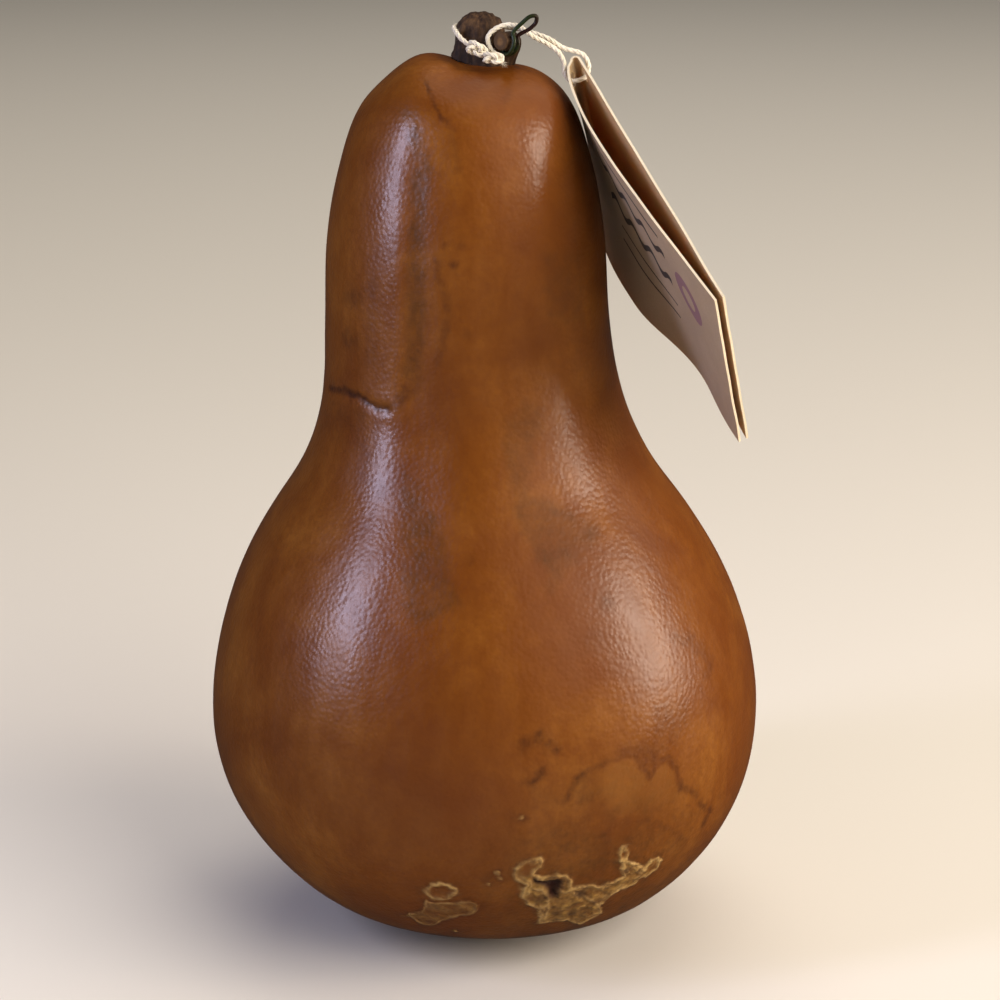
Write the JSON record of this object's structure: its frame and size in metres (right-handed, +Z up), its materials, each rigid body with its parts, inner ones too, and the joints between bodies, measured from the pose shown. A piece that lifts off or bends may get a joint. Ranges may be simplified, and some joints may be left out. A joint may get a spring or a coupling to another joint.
{
  "type": "dried pear gourd",
  "caption": "Whole dried pear-shaped gourd with a cut stem, standing upright, with a folded card tag hung from the stem on a cotton string and a twist of coated wire.",
  "frame": {"origin": "middle of the small flat spot that the gourd rests on", "axes": "+Z up along the gourd, +X to the right and -Y towards the viewer of the picture; the tag hangs on the +X side"},
  "size_m": [0.127, 0.127, 0.211],
  "materials": {
    "gourd_shell": "dried shell, rubbed to a satin sheen",
    "dry_stem": "rough, dry and fibrous",
    "coated_wire": "dark green coating, worn brown on one strand",
    "cotton_string": "twisted unbleached cotton",
    "tag_card": "matt uncoated card"
  },
  "bodies": {
    "root": {"gourd": "gourd_shell", "stem": "dry_stem", "wire_tie": "coated_wire", "string": "cotton_string", "tag": "tag_card"}
  },
  "joints": []
}
